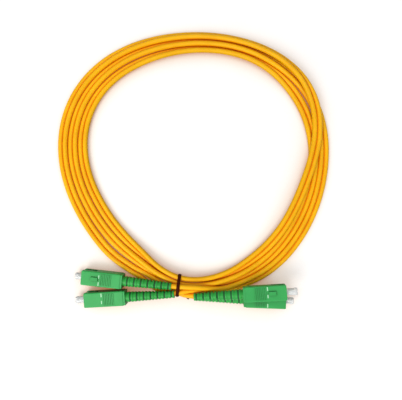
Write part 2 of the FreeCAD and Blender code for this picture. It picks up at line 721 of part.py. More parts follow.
def rounded_path(points, share):
    """Straight runs joined by tangent arcs, each as large as its two runs allow."""
    edges = []
    radii = []
    start = points[0]
    for before, corner, after in zip(points, points[1:], points[2:]):
        back = before - corner
        ahead = after - corner
        trim = share * min(back.Length, ahead.Length)
        turn = math.pi - back.getAngle(ahead)
        radius = trim / math.tan(turn / 2)
        arc_start = corner + back.normalize() * trim
        arc_end = corner + ahead.normalize() * trim
        inward = (back + ahead).normalize()
        top = corner + inward * (math.hypot(radius, trim) - radius)
        edges.append(Part.LineSegment(start, arc_start).toShape())
        edges.append(Part.Arc(arc_start, top, arc_end).toShape())
        radii.append(radius)
        start = arc_end
    edges.append(Part.LineSegment(start, points[-1]).toShape())
    return Part.Wire(edges), radii


LEG_PATHS = {}
ARC_SHARE = 0.45
for end in LEGS:
    points = leg_points(end)
    path, radii = rounded_path(points, ARC_SHARE)
    LEG_PATHS[end] = path
    leg = tube(path, points[0], (points[1] - points[0]).normalize())
    add_shape("jacket_leg_" + end, leg)
    print("jacket_leg_%s: length %.1f, radii %s, volume share %.4f" % (
        end, path.Length, [round(radius, 1) for radius in radii], volume_share(leg, path)
    ))


# The twist tie: a strap round everything that passes at the tie's angle, and its twisted tail.
TIE_OUT = FreeCAD.Vector(math.sin(math.radians(TIE_ANGLE)), -math.cos(math.radians(TIE_ANGLE)), 0)
TIE_WAY = FreeCAD.Vector(math.cos(math.radians(TIE_ANGLE)), math.sin(math.radians(TIE_ANGLE)), 0)
TIE_HOME = FreeCAD.Vector(size("ring_east"), size("ring_north"), 0)


def crossings(path, offset):
    """Where a path crosses the tie's plane, moved by offset along the lead, as (outward, height)."""
    spots = []
    points = path.discretize(Distance=0.5)
    for first, second in zip(points, points[1:]):
        low = (first - TIE_HOME).dot(TIE_WAY) - offset
        high = (second - TIE_HOME).dot(TIE_WAY) - offset
        spot = first + (second - first) * (low / (low - high) if low != high else 0.0)
        outward = (spot - TIE_HOME).dot(TIE_OUT)
        if low * high <= 0.0 and outward > 0.0:
            spots.append((outward, spot.z))
    return spots


def hull(spots):
    """Convex outline of some spots, counterclockwise."""
    ordered = sorted(set(spots))
    outline = []
    for sweep in (ordered, ordered[::-1]):
        chain = []
        for spot in sweep:
            while len(chain) > 1 and turns_right(chain[-2], chain[-1], spot):
                chain.pop()
            chain.append(spot)
        outline += chain[:-1]
    return outline


def turns_right(first, second, third):
    """True where the way through three spots doesn't turn left."""
    ahead = (second[0] - first[0], second[1] - first[1])
    onward = (third[0] - second[0], third[1] - second[1])
    return ahead[0] * onward[1] - ahead[1] * onward[0] <= 1e-9


def strap_outline(outline, radius, offset):
    """Closed wire at a radius round the outline: tangent lines and arcs."""
    count = len(outline)
    normals = []
    for index in range(count):
        first, second = outline[index], outline[(index + 1) % count]
        ahead = FreeCAD.Vector(second[0] - first[0], second[1] - first[1], 0).normalize()
        normals.append(FreeCAD.Vector(ahead.y, -ahead.x, 0))

    def world(spot, normal):
        return TIE_HOME + TIE_WAY * offset + TIE_OUT * (spot[0] + normal.x * radius) + FreeCAD.Vector(
            0, 0, spot[1] + normal.y * radius
        )

    edges = []
    for index, spot in enumerate(outline):
        before, after = normals[index - 1], normals[index]
        middle = (before + after).normalize()
        following = outline[(index + 1) % count]
        edges.append(Part.Arc(world(spot, before), world(spot, middle), world(spot, after)).toShape())
        edges.append(Part.LineSegment(world(spot, after), world(following, after)).toShape())
    return Part.Wire(edges)


half_width = size("tie_width") / 2
bundle = []
for path in list(COIL_PATHS.values()) + list(LEG_PATHS.values()):
    for offset in (-half_width, 0.0, half_width):
        bundle += crossings(path, offset)
bundle_outline = hull(bundle)
inside = size("jacket_diameter") / 2 + size("tie_gap")
outside = inside + size("tie_thickness")
outer_face = Part.Face(strap_outline(bundle_outline, outside, -half_width))
inner_face = Part.Face(strap_outline(bundle_outline, inside, -half_width))
strap = outer_face.extrude(TIE_WAY * size("tie_width")).cut(inner_face.extrude(TIE_WAY * size("tie_width")))
TWIST_DROP = 53.0
TWIST_TURN = -6.0
corner = max(bundle_outline, key=lambda spot: spot[0] - spot[1])
twist_reach = inside + size("twist_diameter") / 2 + size("slide_gap")
twist_side = corner[0] + twist_reach * math.cos(math.radians(TWIST_DROP))
twist_start = TIE_HOME + TIE_OUT * twist_side + FreeCAD.Vector(0, 0, size("twist_diameter") / 2 + size("slide_gap"))
twist_way = FreeCAD.Rotation(FreeCAD.Vector(0, 0, 1), TWIST_TURN).multVec(TIE_WAY)
twist = Part.makeCylinder(size("twist_diameter") / 2, size("twist_length"), twist_start, twist_way)
add_shape("twist_tie", strap.fuse(twist).removeSplitter())
print("twist_tie: outward %.2f to %.2f, height %.2f to %.2f" % (
    min(spot[0] for spot in bundle), max(spot[0] for spot in bundle),
    min(spot[1] for spot in bundle) - outside, max(spot[1] for spot in bundle) + outside,
))


# Least gaps, measured on points along the centre lines.
def least_gap(first, second, apart):
    """Smallest gap between two jackets; apart skips what is nearer than this along one path."""
    step = 2.0
    ones = first.discretize(Distance=step)
    others = second.discretize(Distance=step)
    skip = int(apart / step)
    best = min(
        (one - other).Length
        for row, one in enumerate(ones)
        for other in (others[row + skip:] if apart else others)
        if abs(one.x - other.x) < 9.0 and abs(one.y - other.y) < 9.0
    )
    return best - size("jacket_diameter")


for label, path in COIL_PATHS.items():
    print("%s: least gap to itself %.2f" % (label, least_gap(path, path, 60.0)))
both = list(COIL_PATHS.values())
print("between the two coils: least gap %.2f" % least_gap(both[0], both[1], 0))

# Check everything before anything is written.
doc.recompute()
for item in doc.Objects:
    if "Invalid" in item.State or "Error" in item.State:
        raise RuntimeError("object failed: " + item.Name)
for item in SUB_PARTS:
    if item.Shape.isNull() or not item.Shape.isValid() or len(item.Shape.Solids) != 1:
        raise RuntimeError("sub-part is not one valid solid: " + item.Label)

os.makedirs("parts", exist_ok=True)
for item in SUB_PARTS:
    item.Shape.exportStep("parts/%s.step" % item.Label)
objects_box = FreeCAD.BoundBox()
for item in SUB_PARTS:
    if not item.Label.startswith(("jacket_", "twist_")):
        objects_box.add(item.Shape.BoundBox)
print("%d sub-parts; plugs reach X %.2f to %.2f, Y %.2f to %.2f, Z %.2f to %.2f" % (
    len(SUB_PARTS), objects_box.XMin, objects_box.XMax, objects_box.YMin, objects_box.YMax,
    objects_box.ZMin, objects_box.ZMax,
))
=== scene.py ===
# %% [markdown]
# # Fibre optic patch lead
# The object is a flat lead of two yellow jackets, wound in three loose turns, with a square plug on
# each of its four ends and a twist tie round the bundle. A hard piece, such as a plug's grip, has exact
# sizes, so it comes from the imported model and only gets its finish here. What is soft or bends, the
# lead, its boots, caps and tie, is made in this file, at the same places and sizes as in that model.

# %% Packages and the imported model
import math

import bpy
import numpy as np
from mathutils import Matrix, Vector


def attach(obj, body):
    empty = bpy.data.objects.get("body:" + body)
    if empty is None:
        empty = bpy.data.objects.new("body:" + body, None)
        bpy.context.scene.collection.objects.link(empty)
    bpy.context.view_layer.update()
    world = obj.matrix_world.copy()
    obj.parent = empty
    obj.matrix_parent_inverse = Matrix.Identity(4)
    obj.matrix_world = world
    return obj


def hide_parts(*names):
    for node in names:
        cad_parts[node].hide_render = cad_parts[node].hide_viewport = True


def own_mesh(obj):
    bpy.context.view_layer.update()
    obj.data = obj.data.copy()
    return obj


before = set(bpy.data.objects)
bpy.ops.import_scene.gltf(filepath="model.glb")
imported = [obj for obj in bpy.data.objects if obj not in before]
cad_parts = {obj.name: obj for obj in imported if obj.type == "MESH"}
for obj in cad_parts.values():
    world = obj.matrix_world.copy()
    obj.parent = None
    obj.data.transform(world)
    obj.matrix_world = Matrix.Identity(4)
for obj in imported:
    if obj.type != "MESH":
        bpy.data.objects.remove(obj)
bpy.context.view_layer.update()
scene = bpy.context.scene
MM = 0.001
print("packed model:", len(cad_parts), "nodes")

# %% [markdown]
# ## Camera
# The photograph looks straight down on the lead. A camera could be aimed with a constraint; this one
# needs no aim, because an unturned camera already looks down, with +Y up in the picture. Its height and
# lens were fitted together to the lead's outline.

# %% Camera
CAMERA_AT = (10.22, 53.84, 240.0)
LENS = 34.66
SENSOR = 36.0
NEAREST = 0.01  # metres

camera_data = bpy.data.cameras.new("camera")
camera_data.lens = LENS
camera_data.sensor_width = SENSOR
camera_data.clip_start = NEAREST
camera = bpy.data.objects.new("camera", camera_data)
camera.location = Vector(CAMERA_AT) * MM
scene.collection.objects.link(camera)
scene.camera = camera
print("camera %.0f mm above the paper, lens %.2f mm" % (CAMERA_AT[2], LENS))

# %% [markdown]
# ## Where the plugs lie
# A real plug lies on the table on its grip, with its boot rising to the bundle, or on another plug. Its
# pieces could be placed one by one; it is easier to give each plug one frame, at the middle of its
# front face and with x going back along the plug, and to say everything on it in that frame. All
# lengths are millimetres and all angles degrees, the same as in the solids.

# %% Plugs
PLUGS = {
    "a1": {"front": (-61.7, 7.15, 3.69), "heading": -5.4, "climb": 4.35, "roll": 0.0, "cap": 4.6},
    "a2": {"front": (-59.9, -6.65, 4.18), "heading": 4.3, "climb": 4.0, "roll": 180.0, "cap": 6.0},
    "b1": {"front": (60.0, 0.25, 14.17), "heading": 184.8, "climb": -6.4, "roll": 6.0, "cap": 6.3},
    "b2": {"front": (61.3, -7.15, 4.9), "heading": 178.6, "climb": -2.76, "roll": 180.0, "cap": 5.0},
}


def plug_frame(end):
    """Plug axes in the scene: turn Rz(heading) Ry(-climb) Rx(roll), then the front face's place."""
    plug = PLUGS[end]
    turn = Matrix.Rotation(math.radians(plug["heading"]), 4, "Z")
    turn = turn @ Matrix.Rotation(math.radians(-plug["climb"]), 4, "Y")
    turn = turn @ Matrix.Rotation(math.radians(plug["roll"]), 4, "X")
    return Matrix.Translation(Vector(plug["front"])) @ turn


def on_plug(end, points):
    """Points given along a plug's own axes, moved to where that plug lies."""
    place = np.array(plug_frame(end))
    points = np.asarray(points, dtype=float).reshape(-1, 3)
    return points @ place[:3, :3].T + place[:3, 3]


for end, plug in PLUGS.items():
    print("plug %s: front face at %s, heading %.1f" % (end, plug["front"], plug["heading"]))

# %% [markdown]
# ## Meshes from arrays
# Every new piece is a surface on a grid: a profile carried along a line, or round an axis. Blender's
# primitives and modifiers could give most of them; points worked out as one array give exact radii and
# rounded edges, and one small helper joins the points of any such grid by faces.


# %% Meshes from arrays
def add_mesh(name, points, faces, material, smooth=True):
    """New object from points in millimetres and faces as lists of point numbers."""
    mesh = bpy.data.meshes.new(name)
    mesh.from_pydata((np.asarray(points) * MM).tolist(), [], faces)
    mesh.validate()
    mesh.update()
    mesh.polygons.foreach_set("use_smooth", [smooth] * len(mesh.polygons))
    item = bpy.data.objects.new(name, mesh)
    scene.collection.objects.link(item)
    item.data.materials.append(material)
    return item


def grid_faces(rows, columns, wrap_rows=False, wrap_columns=False, first=0):
    """Quads of a grid whose point (row, column) has the number first + row * columns + column: each
    joins a point to the next in its row and to the two below, round the ends where the grid closes."""
    row = np.arange(rows if wrap_rows else rows - 1)[:, None]
    column = np.arange(columns if wrap_columns else columns - 1)[None, :]
    below = (row + 1) % rows
    right = (column + 1) % columns
    here, under = row * columns, below * columns
    corners = [here + column, here + right, under + right, under + column]
    return (first + np.stack(corners, axis=-1).reshape(-1, 4)).tolist()


def end_faces(rows, columns, first=0):
    """The two faces that close a tube of rows rings, both facing outwards."""
    last = first + (rows - 1) * columns
    return [list(range(first, first + columns))[::-1], list(range(last, last + columns))]


def circle(columns):
    """Angles of evenly spaced points round a circle, in radians."""
    return np.linspace(0, 2 * math.pi, columns, endpoint=False)


def tube(middle, side, up, radius, columns):
    """Points of a tube: middle + radius * (side * cos(angle) + up * sin(angle)), ring by ring."""
    around = circle(columns)[:, None]
    outwards = side[:, None] * np.cos(around) + up[:, None] * np.sin(around)
    return (middle[:, None] + outwards * radius).reshape(-1, 3)


def spun(along, radii, around):
    """Points round a plug's axis: (along, radius * cos(angle), radius * sin(angle)), ring by ring."""
    radii = np.broadcast_to(radii, (len(along), len(around)))
    along = np.broadcast_to(np.asarray(along)[:, None], radii.shape)
    return np.stack([along, radii * np.cos(around), radii * np.sin(around)], axis=-1).reshape(-1, 3)


def directions(line):
    """Unit direction at each point of a line: the step from its last neighbour to its next."""
    ahead = np.gradient(line, axis=0)
    return ahead / np.linalg.norm(ahead, axis=1)[:, None]


def sharpen(item, angle):
    """Keep edges sharper than an angle in degrees."""
    bpy.context.view_layer.objects.active = item
    item.select_set(True)
    bpy.ops.object.shade_smooth_by_angle(angle=math.radians(angle))
    item.select_set(False)


# %% [markdown]
# ## Node helpers
# Moulded plastic is never one even colour: it drifts slowly and has a fine grain, and where pieces meet
# shade is painted into its colour. Each of these could be painted or taken from a picture; noise and ambient
# occlusion give them at the right scale from every side. Patterns read Object coordinates, so they stay on
# the piece.


# %% Node helpers
EDGE_SAMPLES = 6


def new_material(name):
    """Empty node material with its nodes, links, shader and object coordinates."""
    material = bpy.data.materials.new(name)
    material.use_nodes = True
    nodes = material.node_tree.nodes
    place = nodes.new("ShaderNodeTexCoord")
    return material, nodes, material.node_tree.links, nodes["Principled BSDF"], place.outputs["Object"]


def noise(nodes, links, place, scale, detail=3.0, stretch=(1, 1, 1)):
    """Noise texture at a scale per metre, stretched along the axes."""
    mapping = nodes.new("ShaderNodeMapping")
    mapping.inputs["Scale"].default_value = stretch
    links.new(place, mapping.inputs["Vector"])
    texture = nodes.new("ShaderNodeTexNoise")
    texture.inputs["Scale"].default_value = scale
    texture.inputs["Detail"].default_value = detail
    links.new(mapping.outputs["Vector"], texture.inputs["Vector"])
    return texture.outputs["Fac"]


def blend_colours(nodes, links, factor, low, high, start=0.35, end=0.65):
    """Colour low up to the factor start, high from end on, and between them a straight blend."""
    blend = nodes.new("ShaderNodeValToRGB")
    blend.color_ramp.elements[0].position = start
    blend.color_ramp.elements[1].position = end
    blend.color_ramp.elements[0].color = (*low, 1)
    blend.color_ramp.elements[1].color = (*high, 1)
    links.new(factor, blend.inputs["Fac"])
    return blend.outputs["Color"]


def mix_colours(nodes, links, factor, first, second, kind="MIX"):
    """Colour first * (1 - factor) + second * factor, or their product; each is a colour or a socket."""
    mix = nodes.new("ShaderNodeMix")
    mix.data_type = "RGBA"
    mix.blend_type = kind
    for name, value in (("Factor", factor), ("A", first), ("B", second)):
        if isinstance(value, bpy.types.NodeSocket):
            links.new(value, mix.inputs[name])
        else:
            mix.inputs[name].default_value = value
    return mix.outputs["Result"]


def openness(nodes, reach, samples):
    """One in the open, towards nought where other surfaces within reach, in metres, hide the sky."""
    occlusion = nodes.new("ShaderNodeAmbientOcclusion")
    occlusion.samples = samples
    occlusion.inputs["Distance"].default_value = reach
    return occlusion.outputs["AO"]


def seen_rays(nodes, links):
    """One for rays of the camera, mirrors and clear plastic, nought for rays that only carry light."""
    light_path = nodes.new("ShaderNodeLightPath")
    seen = light_path.outputs["Is Camera Ray"]
    for ray in ("Is Glossy Ray", "Is Transmission Ray"):
        either = nodes.new("ShaderNodeMath")
        either.operation = "MAXIMUM"
        links.new(seen, either.inputs[0])
        links.new(light_path.outputs[ray], either.inputs[1])
        seen = either.outputs["Value"]
    return seen


def bump(nodes, links, shader, height, strength, distance, edge=0.0):
    """Bump from a height; edge rounds sharp edges by that many metres."""
    node = nodes.new("ShaderNodeBump")
    node.inputs["Strength"].default_value = strength
    node.inputs["Distance"].default_value = distance
    links.new(height, node.inputs["Height"])
    if edge:
        rounding = nodes.new("ShaderNodeBevel")
        rounding.samples = EDGE_SAMPLES
        rounding.inputs["Radius"].default_value = edge
        links.new(rounding.outputs["Normal"], node.inputs["Normal"])
    links.new(node.outputs["Normal"], shader.inputs["Normal"])


# %% [markdown]
# ## Plastics
# Grips and boots are green moulded plastic, a little satin; the jackets are soft yellow plastic that
# lets some light spread inside, and painted orange shade fills the grooves between them, so these glow
# orange and don't turn black. One plain colour for each would look like paint. One function makes all of
# them, because they differ only in colour, grain, gloss and the colour of the shade painted in their
# crevices.

# %% Plastics
DRIFT_SCALE = 60.0  # colour drift per metre
CREVICE_SHADE_SAMPLES = 6
CREVICE_SHADE_RANGE = (0.2, 0.9)
ROUGHER, SMOOTHER = 0.07, 0.05
GRAIN_BUMP = (0.12, 0.00003)  # strength, and distance in metres
SOFT_DEPTH = 0.0012


def painted_crevice_shade(nodes, links, colour, reach, deep):
    """Painted shade: colour that goes over to a deep one as the openness within reach falls through a range.
    """
    depth = nodes.new("ShaderNodeMapRange")
    depth.inputs["From Min"].default_value = CREVICE_SHADE_RANGE[0]
    depth.inputs["From Max"].default_value = CREVICE_SHADE_RANGE[1]
    links.new(openness(nodes, reach, CREVICE_SHADE_SAMPLES), depth.inputs["Value"])
    return mix_colours(nodes, links, depth.outputs["Result"], (*deep, 1), colour)


def moulded(name, low, high, roughness, grain=1400.0, edge=0.00012, soft=0.0, gloss=0.3, crevice_shade=None):
    """Moulded plastic: slow drift from colour low to high, fine grain in roughness and bump, rounded
    edges, light spreading inside where soft, and painted shade of another colour in crevices."""
    material, nodes, links, shader, place = new_material(name)
    colour = blend_colours(nodes, links, noise(nodes, links, place, DRIFT_SCALE), low, high)
    if crevice_shade:
        colour = painted_crevice_shade(nodes, links, colour, *crevice_shade)
    links.new(colour, shader.inputs["Base Color"])
    fine = noise(nodes, links, place, grain)
    spread = nodes.new("ShaderNodeMapRange")
    spread.inputs["To Min"].default_value = roughness - SMOOTHER
    spread.inputs["To Max"].default_value = roughness + ROUGHER
    links.new(fine, spread.inputs["Value"])
    links.new(spread.outputs["Result"], shader.inputs["Roughness"])
    bump(nodes, links, shader, fine, *GRAIN_BUMP, edge)
    if soft:
        shader.inputs["Subsurface Weight"].default_value = soft
        shader.inputs["Subsurface Radius"].default_value = high
        shader.inputs["Subsurface Scale"].default_value = SOFT_DEPTH
    shader.inputs["Specular IOR Level"].default_value = gloss
    return material


# Painted shade in crevices: how far openness is read, in metres, and the darker colour painted there
JACKET_CREVICE_SHADE = (0.0018, (0.80, 0.17, 0.001))
BOOT_CREVICE_SHADE = (0.0016, (0.004, 0.045, 0.010))
GRIP_CREVICE_SHADE = (0.007, (0.008, 0.095, 0.020))
GRIP_GREEN = moulded(
    "grip_green", (0.023, 0.325, 0.067), (0.033, 0.380, 0.085), 0.45, soft=0.1, crevice_shade=GRIP_CREVICE_SHADE
)
FRAME_GREEN = moulded("frame_green", (0.026, 0.24, 0.060), (0.032, 0.29, 0.072), 0.5)
# Painted shade: darker green put on the faces down in the boots' slots, where shade falls
SLOT_SHADE_GREEN = moulded("slot_painted_shade", (0.006, 0.070, 0.018), (0.010, 0.100, 0.026), 0.6, grain=2200.0)
BOOT_GREEN = moulded(
    "boot_green", (0.012, 0.300, 0.035), (0.021, 0.370, 0.052), 0.42,
    grain=2200.0, soft=0.05, gloss=0.3, crevice_shade=BOOT_CREVICE_SHADE,
)
JACKET_YELLOW = moulded(
    "jacket_yellow", (0.85, 0.430, 0.0020), (0.92, 0.485, 0.0035), 0.44,
    grain=900.0, edge=0.0, soft=0.2, gloss=0.17, crevice_shade=JACKET_CREVICE_SHADE,
)
# Painted shade: the web is the jackets' own plastic, made deeper orange as it lies in shade between them
WEB_SHADE_ORANGE = moulded(
    "web_painted_shade", (0.62, 0.20, 0.0020), (0.70, 0.245, 0.0030), 0.55, grain=900.0, edge=0.0, gloss=0.2
)
TIE_DARK = moulded(
    "tie_dark", (0.040, 0.0050, 0.0006), (0.062, 0.009, 0.0012), 0.7, grain=2600.0, edge=0.00005, gloss=0.08
)
MARK_WHITE = moulded("mark_white", (0.32, 0.66, 0.38), (0.46, 0.78, 0.50), 0.55)
CERAMIC = moulded("ceramic", (0.86, 0.85, 0.82), (0.93, 0.92, 0.90), 0.12, grain=3000.0)
BUFFER = moulded("buffer", (0.82, 0.80, 0.74), (0.90, 0.89, 0.84), 0.4)
YARN = moulded("yarn", (0.66, 0.46, 0.10), (0.86, 0.66, 0.22), 0.8, grain=4200.0)

# %% [markdown]
# ## Metals and the milky cap plastic
# Flange, sleeve, spring and post are turned or drawn metal, with fine streaks in their shine. The dust
# caps are soft half-clear plastic. Glass would be too clear for them and paint too dead; part of the
# light goes through, and more spreads inside, so thick places look white.

# %% Metals and cap plastic
STREAKS = {"scale": 900.0, "detail": 2.0, "stretch": (6, 1, 1)}
STREAK_BUMP = (0.1, 0.00002, 0.00008)  # strength, distance, round of the edges
STREAK_DARK = 0.8


def metal(name, colour, roughness):
    """Turned metal: streaks of a darker share of the colour, and the same streaks as bump."""
    material, nodes, links, shader, place = new_material(name)
    shader.inputs["Metallic"].default_value = 1.0
    streak = noise(nodes, links, place, **STREAKS)
    shaded = blend_colours(nodes, links, streak, [STREAK_DARK * part for part in colour], colour)
    links.new(shaded, shader.inputs["Base Color"])
    shader.inputs["Roughness"].default_value = roughness
    bump(nodes, links, shader, streak, *STREAK_BUMP)
    return material


def milky(name):
    """Half-clear plastic: cloudy white, partly see-through, with light spreading inside."""
    material, nodes, links, shader, place = new_material(name)
    cloud = noise(nodes, links, place, 500.0)
    white = blend_colours(nodes, links, cloud, (0.90, 0.93, 0.91), (0.96, 0.98, 0.96))
    links.new(white, shader.inputs["Base Color"])
    shader.inputs["Roughness"].default_value = 0.32
    shader.inputs["IOR"].default_value = 1.45
    shader.inputs["Transmission Weight"].default_value = 0.35
    shader.inputs["Subsurface Weight"].default_value = 0.6
    shader.inputs["Subsurface Radius"].default_value = (1.0, 1.0, 1.0)
    shader.inputs["Subsurface Scale"].default_value = 0.002
    bump(nodes, links, shader, cloud, strength=0.08, distance=0.00003)
    return material


NICKEL = metal("nickel", (0.62, 0.61, 0.58), 0.28)
STEEL = metal("steel", (0.55, 0.56, 0.58), 0.25)
PLATED = metal("plated", (0.70, 0.68, 0.62), 0.35)
CAP_MILKY = milky("cap_milky")
print(len(bpy.data.materials), "materials, with the packed model's own")

# %% [markdown]
# ## The coil's shape
# The real coil is three loose turns of a flat lead. It could be modelled by hand, point by point, but a
# formula is easier to change: a circle with small waves for the ring, one lane for each turn, and one
# place on the right where the last turn rides over the other two and comes out on the outside. The
# pair of jackets lies flat round most of the ring and stands on edge next to the tie and at the top.
# Angles count from straight below the ring's middle, towards the right.

# %% Coil sizes
JACKET = 3.0  # diameter
PITCH = 3.16  # between the centres of the pair
TOUCH = 3.08  # between the centres of two leads that lean on each other
TURN_GAP = 0.2
TURN_AIR = 0.04
FLAT_STEP = 6.26
SOFT_POWER = 8
PAPER_AIR = 0.02
REST = JACKET / 2 + PAPER_AIR
STATION = 12.0  # degrees between control points
OUTSIDE = 1.0 / math.cos(math.radians(STATION / 2))  # control points lie outside the curve they pull
COIL_START = 18.0
COIL_END = 1050.0
NUDGE = 0.05  # degrees

RING_AT = (5.9, 78.25)
RING_RADIUS = 74.65
RING_WAVES = ((1.53, 1, 99.6), (0.84, 2, 44.9), (2.98, 3, 5.0))  # height, crests, angle of a crest
SWAP = (58.7, 150.6)
RIDE = (30.3, 52.8, 118.7, 168.2)  # start, full, fading, end
RIDE_GAP = 0.45
LAID_FLAT = ((28.6, 62.9, 100.8, 161.2), (37.6, 63.1, 122.5, 147.9), (62.0, 93.8, 109.6, 134.6))
LAST_FLAT = (300.0, 328.0)
LAST_SHIFT = 0.17

# Humps round the ring, each as (height, middle, width), the last two in degrees
RING_DENT = (0.56, 81.0, 25.0)
SPREAD = ((0.5, 118.0, 20.0), (-0.02, 70.0, 20.0), (0.235, 118.0, 20.0))
MIDDLE_DENT = (0.1, 207.0, 15.0)
TOP_LEAN = (0.38, 161.0, 60.0)
FAN_GAP = (0.25, 297.0, 24.0)
CROSSING_SPREAD = (0.04, 98.0, 25.0)
PLUG_CLEAR = (1.6, 332.0, 14.0)

# Next to the tie: heights, and widths on the side where the turns leave it and where they come back
TIE_ANGLE = -7.0
TIE_LEAN = (0.9, 24.0, 17.0)
TIE_INWARDS = (0.4, 34.0, 16.0)
TIE_PULL = 1.2
TIE_LIFT = 0.85
TIE_WIDTH = 11.0


# %% Coil formula
def bell(distance, width):
    """Smooth hump: exp(-(distance / width)^2)."""
    return math.exp(-((distance / width) ** 2))


def hump(angle, height, middle, width):
    """Smooth hump of a height round an angle: height * exp(-((angle - middle) / width)^2)."""
    return height * bell(angle - middle, width)


def ramp(angle, start, end):
    """Smooth step: x^3 (10 - 15 x + 6 x^2)."""
    part = min(1.0, max(0.0, (angle - start) / (end - start)))
    return part ** 3 * (10 - 15 * part + 6 * part ** 2)


def stretch(angle, start, full, fading, end):
    """One between full and fading, nothing before start and after end."""
    return ramp(angle, start, full) - ramp(angle, fading, end)


def wave(amplitude, count, crest, angle):
    """Cosine with count crests per turn: amplitude * cos(count * (angle - crest))."""
    return amplitude * math.cos(math.radians(count * (angle - crest)))


def ring_radius(angle):
    """Mean radius of the loose ring at an angle: three waves and a dent where the turns swap."""
    return RING_RADIUS + sum(wave(*each, angle) for each in RING_WAVES) - hump(angle, *RING_DENT)


def lead_spacing(flat):
    """Step from one turn's lead to the next. Leads that lean overlap like roof tiles: a jacket then
    rests on its neighbour, with TOUCH between their centres. Flat leads lie side by side."""
    rise = math.sqrt(1.0 - flat * flat)
    if TOUCH * flat <= PITCH * rise:
        step = TOUCH / rise
    else:
        step = PITCH * flat + math.sqrt(max(0.0, TOUCH ** 2 - (PITCH * rise) ** 2))
    return min(step + TURN_AIR, FLAT_STEP)


def soft_maximum(first, second):
    """The larger of two lengths without a kink: (first^8 + second^8)^(1/8)."""
    return (first ** SOFT_POWER + second ** SOFT_POWER) ** (1 / SOFT_POWER)


def by_tie(angle, height, leaving, coming):
    """Hump round the tie, with one width where the turns leave it and another where they come back."""
    near = min(abs(angle - TIE_ANGLE), abs(angle - TIE_ANGLE - 360.0))
    return height * bell(near, leaving if angle < 180.0 else coming)


def lay(turn, angle):
    """Lead at an angle of one turn: radius, height, tilt. The radius is the ring's plus the turn's lane
    times the spacing; the tilt's cosine is how flat the pair lies."""
    flat = 1.0 - by_tie(angle, *TIE_LEAN) - hump(angle, *TOP_LEAN)
    swap = ramp(angle, *SWAP)
    lane = (1.0 - swap, -swap, 2.0 * swap - 1.0)[turn] + hump(angle, *SPREAD[turn])
    lane -= by_tie(angle, *TIE_INWARDS)
    forced = stretch(angle, *LAID_FLAT[turn])
    ride = 0.0
    if turn == 1:
        lane -= hump(angle, *MIDDLE_DENT)
    if turn == 2:
        ride = stretch(angle, *RIDE)
        forced += ramp(angle, *LAST_FLAT)
        lane += LAST_SHIFT * ramp(angle, *LAST_FLAT)
    spacing = soft_maximum(JACKET + TURN_GAP, lead_spacing(flat)) + hump(angle, *FAN_GAP)
    tilt = -math.acos(flat) * (1.0 - min(forced, 1.0))
    drawn_in = max(hump(angle, *PLUG_CLEAR), hump(angle + 360.0, *PLUG_CLEAR))
    pulled_out = by_tie(angle, TIE_PULL, TIE_WIDTH, TIE_WIDTH)
    lifted = by_tie(angle, TIE_LIFT, TIE_WIDTH, TIE_WIDTH)
    radius = ring_radius(angle) + spacing * lane - drawn_in + pulled_out
    height = REST + PITCH / 2 * abs(math.sin(tilt)) + (JACKET + RIDE_GAP) * ride + lifted
    return radius, height, tilt


def jacket_point(side, total):
    """Centre of one jacket (side +1 outer, -1 inner) after a total angle, in millimetres."""
    turn = int((total - TIE_ANGLE) // 360.0)
    angle = total - 360.0 * turn
    radius, height, tilt = lay(turn, angle)
    wider = 1.0 + (hump(angle, *CROSSING_SPREAD) if turn == 2 else 0.0)
    half = side * PITCH / 2 * wider
    reach = (radius + half * math.cos(tilt)) * OUTSIDE
    around = math.radians(angle)
    return np.array([
        RING_AT[0] + reach * math.sin(around),
        RING_AT[1] - reach * math.cos(around),
        height + half * math.sin(tilt),
    ])


def jacket_way(side, total):
    """Direction of one jacket after a total angle."""
    ahead = jacket_point(side, total + NUDGE) - jacket_point(side, total - NUDGE)
    return ahead / np.linalg.norm(ahead)


print("ring %.1f mm in mean radius, %d points a turn" % (RING_RADIUS, round(360 / STATION)))

# %% [markdown]
# ## Routes
# Each jacket is one unbroken cord: out of an a plug's boot, round the coil and into a b plug's boot. A
# physics run could drop it on the table, but then it wouldn't lie as in the photograph. So the free
# stretches get a few way points, and start along their plug's axis, which lets them leave it straight.

# %% Route points
BOOT_TIP = 54.5
JACKET_START = 36.0  # inside the boot
LEGS = {
    "a1": {"bend": 56.85, "by": [(7.28, 1.69, 9.50)], "run": 9.12},
    "a2": {"bend": 54.35, "by": [(4.24, -0.15, 7.44)], "run": 8.98},
    "b1": {"bend": 54.06, "by": [(-2.02, -3.12, 4.42), (-13.17, 2.65, 3.50)], "run": 9.01},
    "b2": {"bend": 58.28, "by": [(-4.92, -2.85, 1.73), (-17.68, -1.68, 1.59)], "run": 9.09},
}
SIDES = {"jacket_outer": (1, "a2", "b2"), "jacket_inner": (-1, "a1", "b1")}


def leg_points(end, side, total, back):
    """Way points of a free stretch, from inside the boot to just before the coil."""
    leg = LEGS[end]
    points = [on_plug(end, (JACKET_START, 0, 0))[0], on_plug(end, (leg["bend"], 0, 0))[0]]
    points += [np.array(point) for point in leg["by"]]
    points.append(jacket_point(side, total) + jacket_way(side, total) * leg["run"] * back)
    return points


def route(side, start_end, last_end):
    """All control points of one jacket, in order."""
    stations = np.linspace(COIL_START, COIL_END, int(round((COIL_END - COIL_START) / STATION)) + 1)
    points = leg_points(start_end, side, COIL_START, -1)
    points += [jacket_point(side, total) for total in stations]
    points += leg_points(last_end, side, COIL_END, 1)[::-1]
    return np.array(points)


ROUTES = {name: route(*ends) for name, ends in SIDES.items()}
for name, points in ROUTES.items():
    print(name, len(points), "points, lowest %.2f mm" % points[:, 2].min())


# %% [markdown]
# ## Jackets
# A jacket is a round soft cord. A mesh tube would be heavy and stiff to change; a curve with a round
# bevel keeps the cord as one line, and its smooth spline turns a few points into an even bend. The same
# line, read back without its bevel, gives the cord's length and shows the next pieces where it lies.

# %% Splines
CURVE_STEPS = 8
BEVEL_STEPS = 7


